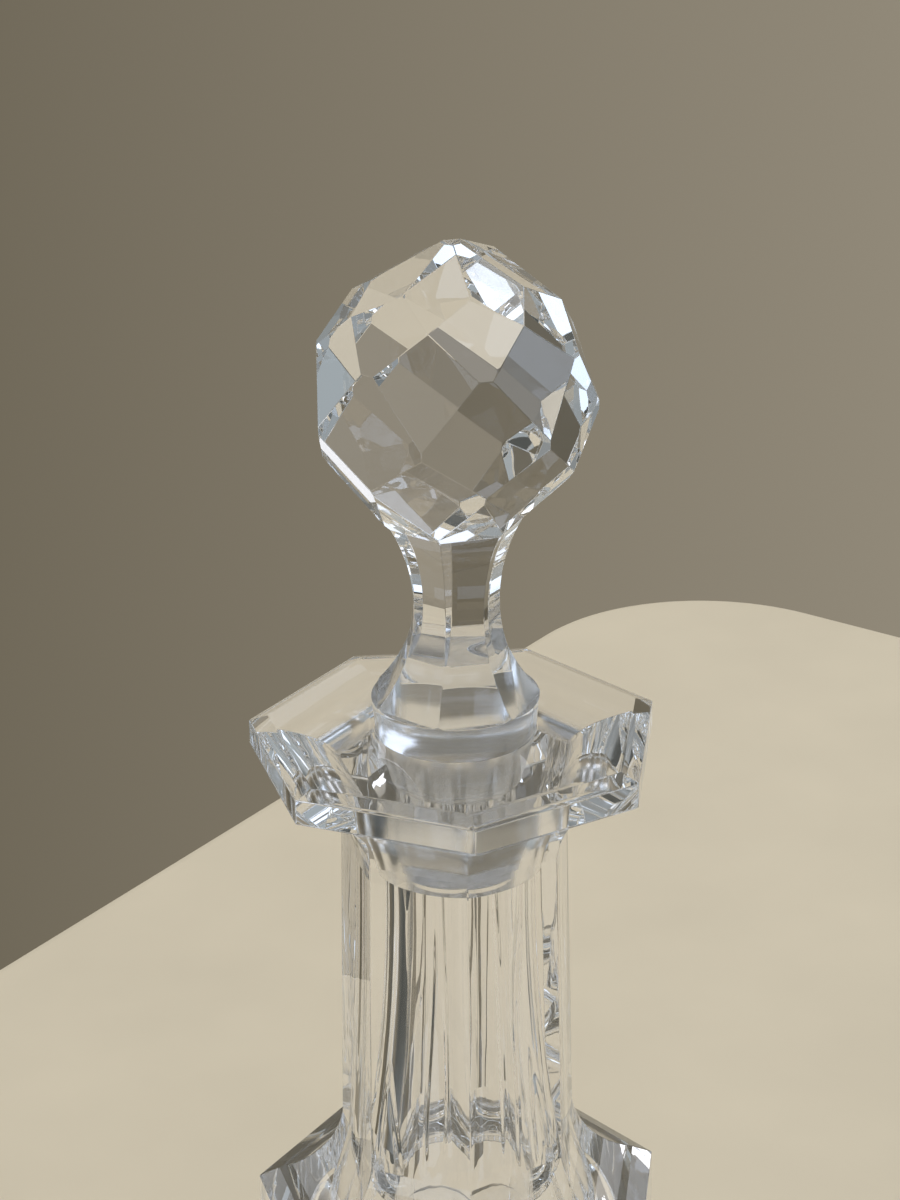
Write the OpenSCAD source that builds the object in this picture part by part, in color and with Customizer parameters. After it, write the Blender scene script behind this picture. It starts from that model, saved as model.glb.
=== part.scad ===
// Cut-crystal perfume bottle with a faceted ball stopper ground into its neck.
// The base stands on z = 0 with the bottle's axis on Z and one corner towards -Y.

/* [Cutting] */
// Number of panels cut round the bottle and the stopper
sides = 7; // [6:1:8]
// Largest difference in height between the cuts on one side and on another, as cutting by hand leaves
hand_cut = 0.1; // [0.05:0.01:0.3]

/* [Body] */
// Corner radius of the body where it stands
base_r = 24.6; // [18:0.1:40]
// Corner radius of the body at the shoulder's edge
shoulder_r = 23.7; // [18:0.1:40]
// Height of the shoulder's edge above the table
body_h = 66.8; // [45:0.1:120]
// Bevel round the foot of the body
foot_bevel = 1.2; // [0.4:0.1:3]
// Width of the bevel round the shoulder
shoulder_bevel_w = 2.2; // [1:0.1:4]
// Height of the bevel round the shoulder
shoulder_bevel_h = 1.3; // [0.4:0.1:3]

/* [Neck] */
// Corner radius of the neck panels, measured at the lip
neck_r = 12.55; // [11:0.05:18]
// Length from the shoulder's edge to the lower edge of the lip
neck_len = 56.4; // [35:0.1:90]
// Lean of the neck panels, in degrees, wider towards the shoulder
neck_lean = 1.15; // [0:0.05:3]
// Radius of the wheel where a neck panel runs out on to the shoulder
shoulder_sweep = 11; // [7:0.5:16]
// Radius of the wheel where a neck panel runs out under the lip
lip_sweep = 10; // [6:0.5:14]
// Angle of the fine line across a panel where a sweep starts, in degrees
sweep_break = 8; // [4:0.5:12]

/* [Lip] */
// Corner radius of the lip
lip_r = 22.5; // [18:0.1:32]
// Height of the lip's upright side
lip_side_h = 2.8; // [1.5:0.1:6]
// Width of the bevel on top of the lip
lip_bevel_w = 2; // [0.5:0.1:4]
// Height of the bevel on top of the lip
lip_bevel_h = 0.7; // [0.2:0.1:2]

/* [Inside] */
// Radius of the round cavity in the body
cavity_r = 15.5; // [9:0.1:17]
// Thickness of the solid glass under the cavity
base_t = 11; // [5:0.5:20]
// Glass left between the top of the cavity and the shoulder's edge
shoulder_t = 7; // [4:0.5:14]
// Rounding of the cavity at the bottom
cavity_foot_round = 6; // [2:0.5:8]
// Rounding of the cavity at the top
cavity_top_round = 8; // [2:0.5:8]
// Radius of the bore at the waist of the neck
bore_r = 6.3; // [4:0.1:6.8]
// Depth of the bore's waist below the top of the lip
bore_waist = 18; // [17:0.5:28]
// Radius of the long curve that widens the bore above and below its waist
bore_curve = 200; // [120:5:400]

/* [Ground joint] */
// Radius of the ground plug at the top of the lip
plug_r = 8.55; // [8:0.01:10.3]
// Length of the ground plug below the top of the lip
plug_len = 15.3; // [8:0.1:18]
// Widening of the plug's diameter, in mm on every mm of its length
plug_taper = 0.2; // [0.1:0.01:0.24]
// Room between the plug and its socket, measured on the radius
grind_gap = 0.1; // [0.05:0.01:0.2]
// Depth that the socket is ground beyond the end of the plug
socket_spare = 0.6; // [0.4:0.1:1]
// Bevel round the end of the plug
plug_bevel = 0.5; // [0.2:0.1:1]

/* [Stopper] */
// How far the stopper is turned against the bottle, in degrees
stopper_turn = -16.5; // [-26:0.5:26]
// Height of the plug that stands out of the lip as a round collar, at the ridges of the skirt
collar_h = 4; // [2:0.1:6]
// Height of the skirt's hollow facets
skirt_h = 5.2; // [3:0.1:8]
// Corner radius of the shank at its waist
shank_r = 4.75; // [3.5:0.05:6]
// Height of the shank from the skirt to the ball
shank_h = 14.6; // [10:0.1:20]
// Height of the shank's waist above the skirt
waist_h = 5.4; // [4:0.1:9]
// Radius of the cutting wheel that hollows the shank and the skirt
wheel_r = 20; // [17:0.5:40]
// Width of the ball across its flats
ball_w = 26.9; // [22:0.1:32]
// How far the small flat on top of the ball lies outside the sphere that the other facets touch
ball_rise = 1.65; // [1:0.05:2.5]
// Latitude of each row of facets on the ball, in degrees, from the top down
ball_lats = [59, 41.5, 20, -1, -32.5]; // [-40:0.5:70]
// How much further from the centre the lowest row lies than the others
foot_row_out = 0.47; // [0:0.01:1]
// Depth that the shank's blank runs up into the ball
ball_sink = 0.4; // [0.2:0.05:0.5]
// How far the ball's lowest facets stand outside the shank's corners
ball_step = 0.26; // [0.1:0.02:0.5]

/* [Hidden] */
$fn = 96;
glass = [0.86, 0.9, 0.9, 0.45];

// Distance from the axis to a panel, as a share of the distance to a corner
flat = cos(180 / sides);
panel_turn = -90 + 180 / sides;
// Order of the sides from the lowest cut to the highest, in which no two neighbours follow each other
hand_step = 3;
over = 1;

// Ground joint: radius of the plug at a depth below the top of the lip, and of its collar above it
function plug_at(depth) = plug_r - depth * plug_taper / 2;
collar_r = plug_at(-collar_h);
socket_len = plug_len + socket_spare;

// Blank that the bottle is cut from, and how far the cuts reach out from the axis
blank_r = 1.2 * max(base_r, shoulder_r, lip_r);
bottle_reach = 2 * blank_r;
stopper_reach = 1.6 * collar_r;

base_a = base_r * flat;
shoulder_a = shoulder_r * flat;
neck_a = neck_r * flat;
lip_a = lip_r * flat;

lip_low = body_h + neck_len;
lip_edge = lip_low + lip_side_h;
lip_top = lip_edge + lip_bevel_h;

// Distance of a neck panel from the axis
function panel_at(z) = neck_a + (lip_low - z) * tan(neck_lean);

// Centre of a wheel of radius r that starts from the panel and runs out at point p, above it or below it
function wheel_centre(p, r, way) =
    let (
        lean = tan(neck_lean),
        gap = panel_at(p[1]) + r * cos(sweep_break) / cos(neck_lean) - p[0],
        rise = (gap * lean + way * sqrt((r / cos(neck_lean)) ^ 2 - gap ^ 2)) * cos(neck_lean) ^ 2
    )
    p + [gap - rise * lean, rise];

// The cut of the shoulder's bevel runs on into the sweep by half its own width
shoulder_bevel = [-shoulder_bevel_w, shoulder_bevel_h];
bevel_run_on = 1.5;
shoulder_edge = [shoulder_a, body_h];
shoulder_c = wheel_centre(shoulder_edge + shoulder_bevel, shoulder_sweep, 1);
lip_c = wheel_centre([lip_a, lip_low], lip_sweep, -1);

cavity_top = body_h - shoulder_t;

// Stopper heights, measured from the top of the lip
skirt_low = collar_h;
skirt_top = skirt_low + skirt_h;
waist_z = skirt_top + waist_h;
shank_top = skirt_top + shank_h;
shank_a = shank_r * flat;
shank_c = [shank_a + wheel_r, waist_z];
function shank_at(z) = shank_c[0] - sqrt(wheel_r ^ 2 - (z - waist_z) ^ 2);

// The skirt's wheel passes through the shank's foot and through the collar's edge at a ridge
skirt_p = [shank_at(skirt_top), skirt_top];
skirt_q = [collar_r * flat, skirt_low];
skirt_chord = norm(skirt_p - skirt_q);
skirt_way = (skirt_p - skirt_q) / skirt_chord;
skirt_c = (skirt_p + skirt_q) / 2
    + sqrt(wheel_r ^ 2 - skirt_chord ^ 2 / 4) * [skirt_way[1], -skirt_way[0]];

// Distance of a row's facets from the ball's centre
ball_a = ball_w / 2;
foot_row = len(ball_lats) - 1;
function row_a(i) = ball_a + (i == foot_row ? foot_row_out : 0);
// The lowest row clears the shank's corners at the height where the shank ends
foot_r = shank_at(shank_top) / flat + ball_step;
ball_drop = (row_a(foot_row) - foot_r * cos(ball_lats[foot_row])) / sin(-ball_lats[foot_row]);
ball_z = shank_top + ball_drop;

module bottle() {
    color(glass)
    difference() {
        cylinder(r = blank_r, h = lip_top);
        round_the_sides(bottle_reach) bottle_offcut();
        bottle_inside();
    }
}

module stopper() {
    color(glass)
    translate([0, 0, lip_top])
    rotate(stopper_turn)
    difference() {
        union() {
            stopper_blank();
            ball();
        }
        round_the_sides(stopper_reach) stopper_offcut();
    }
}

// Cuts the same outline into every side, as a wheel does that runs straight across a panel
module round_the_sides(width) {
    for (k = [0 : sides - 1])
        rotate(panel_turn + k * 360 / sides)
        translate([0, 0, hand_cut * (hand_step * k % sides) / sides])
        rotate([90, 0, 0])
        linear_extrude(height = width, center = true)
        children();
}

// Everything outside one side of the bottle, in distance from the axis and height
module bottle_offcut() {
    body_outside();
    intersection() {
        panel_outside();
        sweeps_outside();
    }
    lip_outside();
}

module body_outside() {
    bevel_end = shoulder_edge + bevel_run_on * shoulder_bevel;
    top = shoulder_c[1] + shoulder_sweep / 2;
    polygon([
        [base_a - foot_bevel - over, -over],
        [base_a, foot_bevel],
        shoulder_edge,
        bevel_end,
        [bevel_end[0], top],
        [bottle_reach, top],
        [bottle_reach, -over]
    ]);
}

module panel_outside() {
    polygon([
        [panel_at(body_h), body_h],
        [panel_at(lip_edge), lip_edge],
        [bottle_reach, lip_edge],
        [bottle_reach, body_h]
    ]);
}

module sweeps_outside() {
    translate(shoulder_c)
    circle(r = shoulder_sweep);
    translate(lip_c)
    circle(r = lip_sweep);
    translate([0, shoulder_c[1]])
    square([bottle_reach, lip_c[1] - shoulder_c[1]]);
}

module lip_outside() {
    low = lip_c[1] - lip_sweep / 2;
    polygon([
        [lip_a, low],
        [lip_a, lip_edge],
        [lip_a - (lip_bevel_h + over) * lip_bevel_w / lip_bevel_h, lip_top + over],
        [bottle_reach, lip_top + over],
        [bottle_reach, low]
    ]);
}

// Round cavity, waisted bore and tapered socket as one turned shape
module bottle_inside() {
    rotate_extrude() {
        cavity_outline();
        bore_outline();
    }
    translate([0, 0, lip_top - socket_len])
    cylinder(
        r1 = plug_at(socket_len) + grind_gap,
        r2 = plug_at(-over) + grind_gap,
        h = socket_len + over
    );
}

module cavity_outline() {
    low = base_t + cavity_foot_round;
    top = cavity_top - cavity_top_round;
    translate([0, low])
    square([cavity_r, top - low]);
    rounded_end(low, cavity_foot_round);
    rounded_end(top, cavity_top_round);
}

// One end of the cavity: a disc for its corner, kept on the outer side of the axis, and a square inside it
module rounded_end(y, r) {
    translate([0, y - r])
    square([cavity_r - r, 2 * r]);
    intersection() {
        translate([cavity_r - r, y])
        circle(r = r);
        translate([0, y - r])
        square([cavity_r, 2 * r]);
    }
}

module bore_outline() {
    low = cavity_top - cavity_top_round;
    difference() {
        translate([0, low])
        square([cavity_r - cavity_top_round / 2, lip_top - socket_len / 2 - low]);
        translate([bore_r + bore_curve, lip_top - bore_waist])
        circle(r = bore_curve);
    }
}

// Turned blank, before it is cut: one taper from the end of the plug, which is bevelled, up into the ball
module stopper_blank() {
    top = shank_top + ball_sink;
    end = plug_len - plug_bevel;
    translate([0, 0, -end])
    cylinder(r1 = plug_at(end), r2 = plug_at(-top), h = end + top);
    translate([0, 0, -plug_len])
    cylinder(r1 = plug_at(end) - plug_bevel, r2 = plug_at(end), h = plug_bevel);
}

// Everything outside one side of the skirt and the shank, up to a bevel of 45 degrees under the ball
module stopper_offcut() {
    intersection() {
        translate(skirt_c)
        circle(r = wheel_r);
        translate(shank_c)
        circle(r = wheel_r);
        translate([shank_at(shank_top), shank_top])
        polygon([[-wheel_r, -wheel_r], [wheel_r, wheel_r], [wheel_r, -wheel_r]]);
    }
}

// Ball with rows of diamond facets, each row turned by half a facet against the last
module ball() {
    translate([0, 0, ball_z])
    intersection_for (i = [0 : foot_row])
        difference() {
            translate([-ball_w, -ball_w, -ball_w])
            cube([2 * ball_w, 2 * ball_w, ball_w + ball_a + ball_rise]);
            for (k = [0 : sides - 1])
                rotate(panel_turn + (k + (i + 1) % 2 / 2) * 360 / sides)
                rotate([0, -ball_lats[i], 0])
                translate([row_a(i), -2 * ball_w, -2 * ball_w])
                cube(4 * ball_w);
        }
}

bottle();
stopper();
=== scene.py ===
import bpy, bmesh
from math import radians, hypot
from mathutils import Matrix, Vector


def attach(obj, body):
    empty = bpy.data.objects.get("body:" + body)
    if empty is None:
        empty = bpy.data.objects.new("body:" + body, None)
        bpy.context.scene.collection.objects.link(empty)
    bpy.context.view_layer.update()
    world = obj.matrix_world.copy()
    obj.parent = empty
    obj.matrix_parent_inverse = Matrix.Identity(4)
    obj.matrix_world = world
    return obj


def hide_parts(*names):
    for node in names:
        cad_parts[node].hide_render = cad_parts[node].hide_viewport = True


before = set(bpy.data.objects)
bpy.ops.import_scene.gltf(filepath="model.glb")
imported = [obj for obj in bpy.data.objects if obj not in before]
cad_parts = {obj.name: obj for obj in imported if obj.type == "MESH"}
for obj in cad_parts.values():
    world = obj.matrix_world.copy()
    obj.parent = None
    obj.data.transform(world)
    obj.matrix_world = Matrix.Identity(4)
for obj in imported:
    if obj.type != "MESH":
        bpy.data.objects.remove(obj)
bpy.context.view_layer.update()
mm = 0.001
scene = bpy.context.scene
scene.view_settings.view_transform = "Standard"
# light goes round many times inside cut crystal before it comes out
scene.cycles.max_bounces = scene.cycles.transmission_bounces = scene.cycles.glossy_bounces = 40
print("frame loaded:", sorted(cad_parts))


def linear(hexColour):  # sRGB hex to the linear colour that Blender works in
    parts = [int(hexColour[i:i + 2], 16) / 255 for i in (1, 3, 5)]
    return [c / 12.92 if c <= 0.04045 else ((c + 0.055) / 1.055) ** 2.4 for c in parts] + [1]


def addNode(tree, kind, settings=None, links=None):  # an input goes by its name or its number
    node = tree.nodes.new(kind)
    for name, value in (settings or {}).items():
        if isinstance(name, int) or name in node.inputs:
            node.inputs[name].default_value = value
        else:
            setattr(node, name, value)
    for name, source in (links or {}).items():
        tree.links.new(source, node.inputs[name])
    return node


# the inputs and outputs of a mix node share their names, so they go by number
factor, numberA, numberB, colourA, colourB = 0, 2, 3, 6, 7
numberOut, colourOut = 0, 2
smoothly = {"interpolation_type": "SMOOTHSTEP"}


def span(low, high, toLow=0.0, toHigh=1.0):  # what a map range is set to
    return {"From Min": low, "From Max": high, "To Min": toLow, "To Max": toHigh}


def startMaterial(name):  # also gives the place in the piece's own frame, which patterns follow
    material = bpy.data.materials.new(name)
    material.use_nodes = True
    tree = material.node_tree
    tree.nodes.clear()
    return material, tree, addNode(tree, "ShaderNodeTexCoord").outputs["Object"]


def endMaterial(tree, settings, links):
    shader = addNode(tree, "ShaderNodeBsdfPrincipled", settings, links)
    addNode(tree, "ShaderNodeOutputMaterial", links={"Surface": shader.outputs["BSDF"]})


# camera: a little above the ball, looking down on the lip, one corner of the lip nearly towards it
view = dict(place=(-0.46 * mm, -253.31 * mm, 251.79 * mm), pitch=23.57, roll=-0.66, turn=-4.64,
            lens=79.5, sensor=36, nearest=10 * mm)

cameraData = bpy.data.cameras.new("camera")
cameraData.sensor_fit = "VERTICAL"
cameraData.sensor_height = view["sensor"]
cameraData.lens = view["lens"]
cameraData.clip_start = view["nearest"]
camera = bpy.data.objects.new("camera", cameraData)
camera.matrix_world = (
    Matrix.Rotation(radians(view["turn"]), 4, "Z")
    @ Matrix.Translation(view["place"])
    @ Matrix.Rotation(radians(90 - view["pitch"]), 4, "X")
    @ Matrix.Rotation(radians(view["roll"]), 4, "Z")
)
scene.collection.objects.link(camera)
scene.camera = camera
print("camera set")


# lead crystal, cut on a wheel and polished: clear right through, with flats that are not quite flat
crystal = dict(ior=1.55, tint="#fefeff", waveSize=5 * mm, waveDepth=0.012 * mm,
               marks=1.2 * mm, marksShow=(0.55, 0.8), rough=(0.0, 0.02))
clear = {"Base Color": linear(crystal["tint"]), "Transmission Weight": 1.0, "IOR": crystal["ior"]}

cutCrystal, tree, place = startMaterial("lead crystal, cut and polished")
marks = addNode(tree, "ShaderNodeTexNoise", {"Scale": 1 / crystal["marks"], "Detail": 4.0}, {"Vector": place})
rough = addNode(tree, "ShaderNodeMapRange", span(*crystal["marksShow"], *crystal["rough"]),
                {"Value": marks.outputs["Fac"]})
wave = addNode(tree, "ShaderNodeTexNoise", {"Scale": 1 / crystal["waveSize"], "Detail": 1.0}, {"Vector": place})
bump = addNode(tree, "ShaderNodeBump", {"Strength": 1.0, "Distance": crystal["waveDepth"]},
               {"Height": wave.outputs["Fac"]})
endMaterial(tree, clear, {"Roughness": rough.outputs["Result"], "Normal": bump.outputs["Normal"]})

# the arrises between the cuts: rounded by polishing and by use, so they catch a soft line of light
arris = dict(nick=0.8 * mm, nicksShow=(0.45, 0.75), rough=(0.02, 0.16))

arrisCrystal, tree, place = startMaterial("lead crystal, arris worn by use")
nicks = addNode(tree, "ShaderNodeTexNoise", {"Scale": 1 / arris["nick"], "Detail": 3.0}, {"Vector": place})
rough = addNode(tree, "ShaderNodeMapRange", span(*arris["nicksShow"], *arris["rough"]),
                {"Value": nicks.outputs["Fac"]})
endMaterial(tree, clear, {"Roughness": rough.outputs["Result"]})

# the inside: blown and never cut, fire polished, with long shallow waves down the bore, and draw lines
# in the neck that run out in loops
blown = dict(waveWide=2.2 * mm, waveLong=45 * mm, waveDepth=0.06 * mm,
             lineWide=3.4 * mm, lineLong=80 * mm, lineMiddle=0.5, lineEdge=0.07, lineDepth=0.24 * mm,
             lineFrom=74 * mm, lineFull=84 * mm)

blownCrystal, tree, place = startMaterial("lead crystal, blown and fire polished")
stretched = {}
for kind, detail in (("wave", 2.0), ("line", 0.0)):
    across = 1 / blown[kind + "Wide"]
    stretch = addNode(tree, "ShaderNodeMapping", {"Scale": (across, across, 1 / blown[kind + "Long"])},
                      {"Vector": place})
    stretched[kind] = addNode(tree, "ShaderNodeTexNoise", {"Scale": 1.0, "Detail": detail},
                              {"Vector": stretch.outputs["Vector"]}).outputs["Fac"]
waveBump = addNode(tree, "ShaderNodeBump", {"Strength": 1.0, "Distance": blown["waveDepth"]},
                   {"Height": stretched["wave"]})
middle = addNode(tree, "ShaderNodeMath", {"operation": "SUBTRACT", 1: blown["lineMiddle"]},
                 {0: stretched["line"]})
off = addNode(tree, "ShaderNodeMath", {"operation": "ABSOLUTE"}, {0: middle.outputs["Value"]})
line = addNode(tree, "ShaderNodeMapRange", span(0.0, blown["lineEdge"]) | smoothly,
               {"Value": off.outputs["Value"]})
height = addNode(tree, "ShaderNodeSeparateXYZ", links={"Vector": place})
drawn = addNode(tree, "ShaderNodeMapRange", span(blown["lineFrom"], blown["lineFull"]),
                {"Value": height.outputs["Z"]})
bump = addNode(tree, "ShaderNodeBump", {"Distance": blown["lineDepth"]},
               {"Strength": drawn.outputs["Result"], "Height": line.outputs["Result"],
                "Normal": waveBump.outputs["Normal"]})
endMaterial(tree, clear | {"Roughness": 0.0}, {"Normal": bump.outputs["Normal"]})

# plug and socket: ground into each other with wet grit, so the socket is matt and grey; the plug is
# finer, and its collar above the lip is polished again; the rings are drawn coarser than they are, to show
ground = dict(tint="#fcfdff", socketMatt=(0.14, 0.24), plugMatt=(0.05, 0.12), polished=0.01,
              lip=126.7 * mm, fade=0.6 * mm, ring=0.9 * mm, ringWide=50 * mm, ringShow=(0.3, 0.7),
              depth=0.003 * mm)
groundClear = clear | {"Base Color": linear(ground["tint"])}

groundCrystal = {}
for part in ("socket", "plug"):
    groundCrystal[part], tree, place = startMaterial("lead crystal, ground matt " + part)
    rings = addNode(tree, "ShaderNodeMapping",
                    {"Scale": (1 / ground["ringWide"], 1 / ground["ringWide"], 1 / ground["ring"])},
                    {"Vector": place})
    ringNoise = addNode(tree, "ShaderNodeTexNoise", {"Scale": 1.0, "Detail": 3.0},
                        {"Vector": rings.outputs["Vector"]})
    matt = addNode(tree, "ShaderNodeMapRange", span(*ground["ringShow"], *ground[part + "Matt"]),
                   {"Value": ringNoise.outputs["Fac"]})
    height = addNode(tree, "ShaderNodeSeparateXYZ", links={"Vector": place})
    above = addNode(tree, "ShaderNodeMapRange", span(ground["lip"] - ground["fade"], ground["lip"]),
                    {"Value": height.outputs["Z"]})
    rough = addNode(tree, "ShaderNodeMix", {"data_type": "FLOAT", numberB: ground["polished"]},
                    {factor: above.outputs["Result"], numberA: matt.outputs["Result"]})
    bump = addNode(tree, "ShaderNodeBump", {"Strength": 1.0, "Distance": ground["depth"]},
                   {"Height": ringNoise.outputs["Fac"]})
    endMaterial(tree, groundClear, {"Roughness": rough.outputs[numberOut], "Normal": bump.outputs["Normal"]})

# end of the plug: broken off and ground flat with coarse grit, white and scaly
plugEnd = dict(tint="#fcfdff", scale=1.1 * mm, scaleEdge=0.7, rough=(0.3, 0.6), depth=0.08 * mm)

endCrystal, tree, place = startMaterial("lead crystal, coarsely ground")
scales = addNode(tree, "ShaderNodeTexVoronoi", {"Scale": 1 / plugEnd["scale"]}, {"Vector": place})
rough = addNode(tree, "ShaderNodeMapRange", span(0.0, plugEnd["scaleEdge"], *plugEnd["rough"]),
                {"Value": scales.outputs["Distance"]})
bump = addNode(tree, "ShaderNodeBump", {"Strength": 1.0, "Distance": plugEnd["depth"]},
               {"Height": scales.outputs["Distance"]})
endMaterial(tree, clear | {"Base Color": linear(plugEnd["tint"])},
            {"Roughness": rough.outputs["Result"], "Normal": bump.outputs["Normal"]})
print("crystal mixed")


# polishing, the same for both pieces: the angles are in degrees
polish = dict(weld=0.07 * mm, flatWithin=0.2, roundSteps=2, softWithin=25)


# a node's mesh, taken apart into its cuts, joined up again with flat facets, and its arrises polished round
def polishPiece(node, cut, finishOf):
    finishes = list(cut["finishes"])
    arrisAt = finishes.index("arris")
    bm = bmesh.new()
    bm.from_mesh(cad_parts[node].data)
    cutOf = bm.faces.layers.int.new("cut")
    bm.faces.ensure_lookup_table()
    seen, cuts = set(), 0
    for first in bm.faces:  # faces that share edges are one cut
        if first in seen:
            continue
        stack, island = [first], []
        seen.add(first)
        while stack:
            face = stack.pop()
            island.append(face)
            for edge in face.edges:
                for other in edge.link_faces:
                    if other not in seen:
                        seen.add(other)
                        stack.append(other)
        points = [v.co for f in island for v in f.verts]
        heights = [p.z for p in points]
        finish = finishOf(max(hypot(p.x, p.y) for p in points), min(heights), max(heights))
        for face in island:
            face[cutOf] = cuts
            face.material_index = finishes.index(finish)
        cuts += 1
    bmesh.ops.remove_doubles(bm, verts=bm.verts, dist=polish["weld"])
    bmesh.ops.dissolve_degenerate(bm, edges=bm.edges, dist=polish["weld"] / 4)
    bmesh.ops.dissolve_limit(bm, verts=bm.verts, edges=bm.edges, angle_limit=radians(polish["flatWithin"]),
                             delimit={"MATERIAL"})

    def isArris(edge):
        if len(edge.link_faces) != 2:
            return False
        a, b = edge.link_faces
        return a[cutOf] != b[cutOf] and edge.calc_face_angle() > radians(cut["arrisFrom"])

    arrises = [e for e in bm.edges if isArris(e)]
    openEdges = [e for e in bm.edges if len(e.link_faces) != 2]
    print(node, "cuts", cuts, "faces", len(bm.faces), "arrises", len(arrises), "open edges", len(openEdges))
    for face in bm.faces:
        face.smooth = True
    bmesh.ops.bevel(bm, geom=arrises, offset=cut["arris"], offset_type="OFFSET", segments=polish["roundSteps"],
                    profile=0.5, affect="EDGES", clamp_overlap=True, loop_slide=True, material=arrisAt)
    for edge in bm.edges:  # shading runs on inside a cut, along an arris, and round what was never cut flat
        if len(edge.link_faces) == 2:
            a, b = edge.link_faces
            uncut = a.material_index > arrisAt and edge.calc_face_angle() < radians(polish["softWithin"])
            runsOn = a[cutOf] == b[cutOf] or a.material_index == arrisAt or uncut
            edge.smooth = a.material_index == b.material_index and runsOn
    mesh = bpy.data.meshes.new(node + "Glass")
    bm.to_mesh(mesh)
    bm.free()
    for name in ("custom_normal", "cut"):
        if name in mesh.attributes:
            mesh.attributes.remove(mesh.attributes[name])
    for material in cut["finishes"].values():
        mesh.materials.append(material)
    piece = bpy.data.objects.new(node + "Glass", mesh)
    scene.collection.objects.link(piece)
    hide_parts(node)
    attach(piece, node)
    print(node, "polished:", len(mesh.polygons), "faces")


# bottle: a cut's finish is told by the radius it reaches and the heights it spans
bottleCut = dict(arris=0.12 * mm, arrisFrom=16, socketReach=8.8 * mm, socketFrom=105 * mm,
                 boreReach=11.9 * mm, cavityReach=15.7 * mm, cavityTop=61.5 * mm, insideFrom=5 * mm,
                 finishes=dict(cut=cutCrystal, arris=arrisCrystal, blown=blownCrystal,
                               ground=groundCrystal["socket"]))


def bottleFinish(reach, low, high):
    if reach < bottleCut["socketReach"] and low > bottleCut["socketFrom"]:
        return "ground"
    inCavity = high < bottleCut["cavityTop"] and reach < bottleCut["cavityReach"]
    if low > bottleCut["insideFrom"] and (reach < bottleCut["boreReach"] or inCavity):
        return "blown"
    return "cut"


polishPiece("bottle", bottleCut, bottleFinish)

# stopper: the plug and its collar are one taper, so they have one finish
stopperCut = dict(arris=0.1 * mm, arrisFrom=6, endTop=112.5 * mm, plugFrom=120 * mm,
                  finishes=dict(cut=cutCrystal, arris=arrisCrystal, ground=groundCrystal["plug"],
                                end=endCrystal))


def stopperFinish(reach, low, high):
    if high < stopperCut["endTop"]:
        return "end"
    return "ground" if low < stopperCut["plugFrom"] else "cut"


polishPiece("stopper", stopperCut, stopperFinish)


# floor: a plain table top in a pale stone colour, with its rounded far corner behind the bottle
floorTop = dict(left=-162 * mm, right=420 * mm, near=-230 * mm, far=305 * mm, turn=49.5,
                under=0.05 * mm, thick=18 * mm, corner=45 * mm, cornerSteps=24, rim=3 * mm, rimSteps=4,
                rimFrom=57, colour="#d4c9b2", patch=35 * mm, patchShow=(0.3, 0.7), patchShade=(0.97, 1.03),
                rough=0.6)

floorStone, tree, place = startMaterial("honed pale stone")
patches = addNode(tree, "ShaderNodeTexNoise", {"Scale": 1 / floorTop["patch"], "Detail": 3.0},
                  {"Vector": place})
shade = addNode(tree, "ShaderNodeMapRange", span(*floorTop["patchShow"], *floorTop["patchShade"]),
                {"Value": patches.outputs["Fac"]})
colour = addNode(tree, "ShaderNodeMix",
                 {"data_type": "RGBA", "blend_type": "MULTIPLY", factor: 1.0,
                  colourA: linear(floorTop["colour"])},
                 {colourB: shade.outputs["Result"]})
endMaterial(tree, {"Roughness": floorTop["rough"]}, {"Base Color": colour.outputs[colourOut]})

bm = bmesh.new()
bmesh.ops.create_cube(bm, size=1)
for v in bm.verts:  # x runs along the left edge, y to the left of it
    v.co = Vector((floorTop["far"] if v.co.x > 0 else floorTop["near"],
                   -floorTop["left"] if v.co.y > 0 else -floorTop["right"],
                   -floorTop["under"] if v.co.z > 0 else -floorTop["thick"]))
uprights = [e for e in bm.edges if abs(e.verts[0].co.z - e.verts[1].co.z) > mm]
bmesh.ops.bevel(bm, geom=uprights, offset=floorTop["corner"], segments=floorTop["cornerSteps"],
                profile=0.5, affect="EDGES")
rims = [e for e in bm.edges
        if len(e.link_faces) == 2 and e.calc_face_angle() > radians(floorTop["rimFrom"])]
bmesh.ops.bevel(bm, geom=rims, offset=floorTop["rim"], segments=floorTop["rimSteps"],
                profile=0.5, affect="EDGES")
bmesh.ops.rotate(bm, verts=bm.verts, cent=(0, 0, 0),
                 matrix=Matrix.Rotation(radians(floorTop["turn"]), 3, "Z"))
mesh = bpy.data.meshes.new("floor")
bm.to_mesh(mesh)
bm.free()
mesh.materials.append(floorStone)
floor = bpy.data.objects.new("floor", mesh)
scene.collection.objects.link(floor)
print("floor laid")


# world: a plain taupe wall behind with painted light, lighter on the right as if lit from that side, a cool
# pale room around it, darker overhead and under the table's edge; everything matt gets one even pale light; the
# limits are shares of a direction
room = dict(left="#5d5646", right="#918979", wallAcross=(-0.25, 0.25), wallFrom=(0.5, 0.8),
            leftSide="#8a9093", rightSide="#a4adb1", roomAcross=(-0.8, 0.8),
            above="#76746d", aboveFrom=(0.4, 0.9), aboveLean=0.5,
            shade="#3c403f", shadeEnds=(-0.42, -0.12), matt="#d9d7d2", mattLight=1.12)

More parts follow.
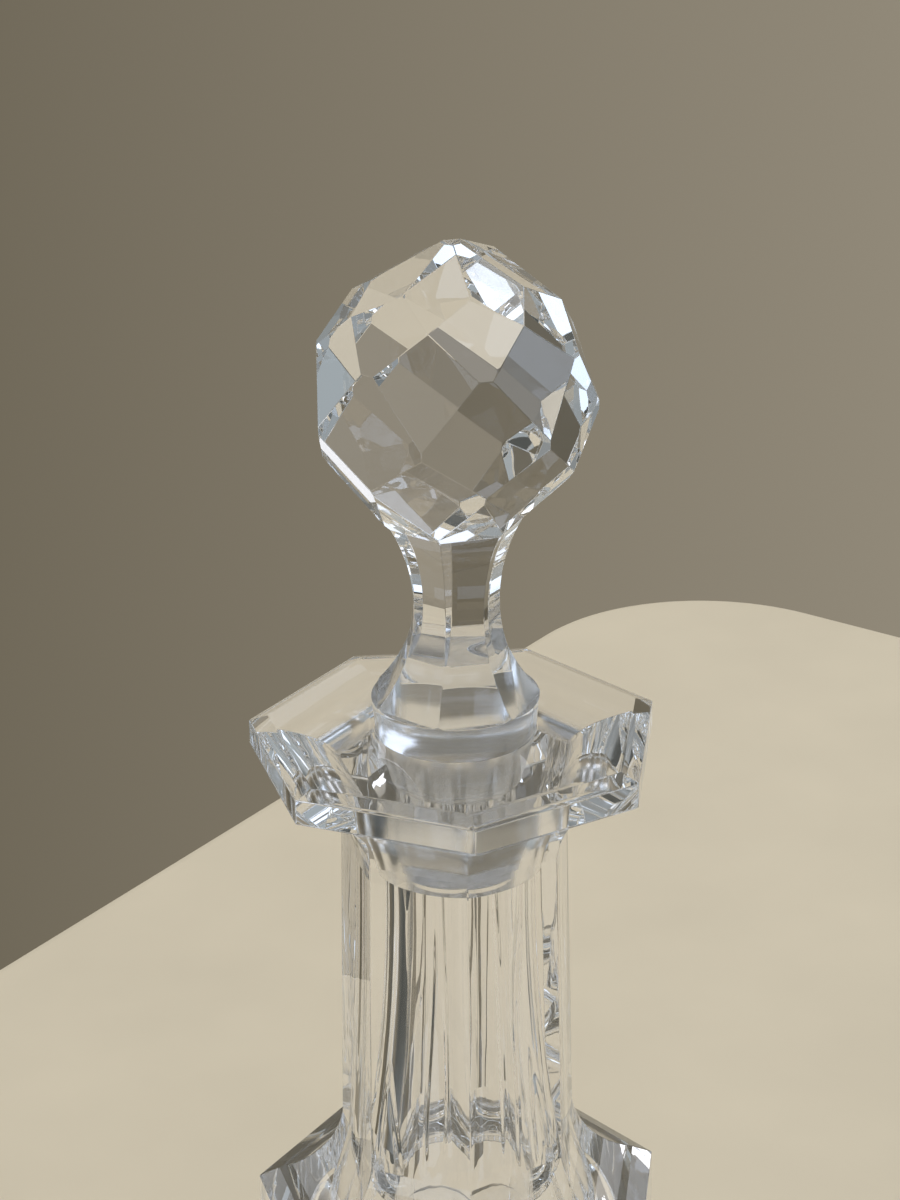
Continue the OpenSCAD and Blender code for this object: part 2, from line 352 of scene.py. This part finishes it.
world = bpy.data.worlds.new("room")
scene.world = world
world.use_nodes = True
tree = world.node_tree
tree.nodes.clear()
coords = addNode(tree, "ShaderNodeTexCoord")
way = addNode(tree, "ShaderNodeSeparateXYZ", links={"Vector": coords.outputs["Generated"]})
# painted light: the wall runs from a darker colour on the left to a lighter one on the right, as if more light
# fell on its right side
across = addNode(tree, "ShaderNodeMapRange", span(*room["wallAcross"]), {"Value": way.outputs["X"]})
wall = addNode(tree, "ShaderNodeMix",
               {"data_type": "RGBA", colourA: linear(room["left"]), colourB: linear(room["right"])},
               {factor: across.outputs["Result"]})
turned = addNode(tree, "ShaderNodeMapRange", span(*room["roomAcross"]), {"Value": way.outputs["X"]})
around = addNode(tree, "ShaderNodeMix",
                 {"data_type": "RGBA", colourA: linear(room["leftSide"]), colourB: linear(room["rightSide"])},
                 {factor: turned.outputs["Result"]})
high = addNode(tree, "ShaderNodeMath", {"operation": "MULTIPLY_ADD", 1: room["aboveLean"]},
               {0: way.outputs["Y"], 2: way.outputs["Z"]})  # darkest above the wall
top = addNode(tree, "ShaderNodeMapRange", span(*room["aboveFrom"]) | smoothly, {"Value": high.outputs["Value"]})
upper = addNode(tree, "ShaderNodeMix", {"data_type": "RGBA", colourB: linear(room["above"])},
                {factor: top.outputs["Result"], colourA: around.outputs[colourOut]})
rise = addNode(tree, "ShaderNodeMapRange", span(*room["shadeEnds"]) | smoothly, {"Value": way.outputs["Z"]})
sides = addNode(tree, "ShaderNodeMix", {"data_type": "RGBA", colourA: linear(room["shade"])},
                {factor: rise.outputs["Result"], colourB: upper.outputs[colourOut]})
away = addNode(tree, "ShaderNodeMapRange", span(*room["wallFrom"]) | smoothly, {"Value": way.outputs["Y"]})
whole = addNode(tree, "ShaderNodeMix", {"data_type": "RGBA"},
                {factor: away.outputs["Result"], colourA: sides.outputs[colourOut],
                 colourB: wall.outputs[colourOut]})
seen = addNode(tree, "ShaderNodeBackground", {"Strength": 1.0}, {"Color": whole.outputs[colourOut]})
matt = addNode(tree, "ShaderNodeBackground", {"Color": linear(room["matt"]), "Strength": room["mattLight"]})
path = addNode(tree, "ShaderNodeLightPath")
bent = addNode(tree, "ShaderNodeMath", {"operation": "MAXIMUM"},
               {0: path.outputs["Is Glossy Ray"], 1: path.outputs["Is Transmission Ray"]})
direct = addNode(tree, "ShaderNodeMath", {"operation": "MAXIMUM"},
                 {0: path.outputs["Is Camera Ray"], 1: bent.outputs["Value"]})
mix = addNode(tree, "ShaderNodeMixShader",
              links={0: direct.outputs["Value"], 1: matt.outputs["Background"], 2: seen.outputs["Background"]})
addNode(tree, "ShaderNodeOutputWorld", links={"Surface": mix.outputs["Shader"]})

# soft boxes: a wide cool one on the right like a window, a wide low one on the left, one above the camera,
# and small ones low down that the facets throw forward
lamps = dict(
    windowBox=dict(turn=75, rise=43, away=0.95, size=(0.80, 0.46), watts=1.6, colour="#dbe9ff"),
    lowBox=dict(turn=46, rise=13, away=0.95, size=(0.24, 0.26), watts=0.30, colour="#f4f7ff"),
    sideBox=dict(turn=108, rise=14, away=0.95, size=(0.28, 0.24), watts=0.32, colour="#e4eeff"),
    backLeftBox=dict(turn=-46, rise=16, away=0.95, size=(0.28, 0.30), watts=0.40, colour="#f6f9ff"),
    leftBox=dict(turn=-138, rise=-11, away=0.95, size=(0.95, 0.42), watts=1.75, colour="#d8e8ff"),
    frontBox=dict(turn=172, rise=66, away=0.95, size=(0.60, 0.42), watts=1.0, colour="#dfeaff"),
)
aim = Vector((0, 0, 120 * mm))
for name, lamp in lamps.items():  # turned clockwise from straight behind the bottle, and raised above its neck
    light = bpy.data.lights.new(name, "AREA")
    light.shape = "RECTANGLE"
    light.size, light.size_y = lamp["size"]
    light.energy = lamp["watts"]
    light.color = linear(lamp["colour"])[:3]
    box = bpy.data.objects.new(name, light)
    reach = Vector((0, lamp["away"], 0))
    reach.rotate(Matrix.Rotation(radians(lamp["rise"]), 3, "X"))
    reach.rotate(Matrix.Rotation(-radians(lamp["turn"]), 3, "Z"))
    box.location = aim + reach
    box.rotation_euler = (-reach).to_track_quat("-Z", "Y").to_euler()
    scene.collection.objects.link(box)
print("lights set")
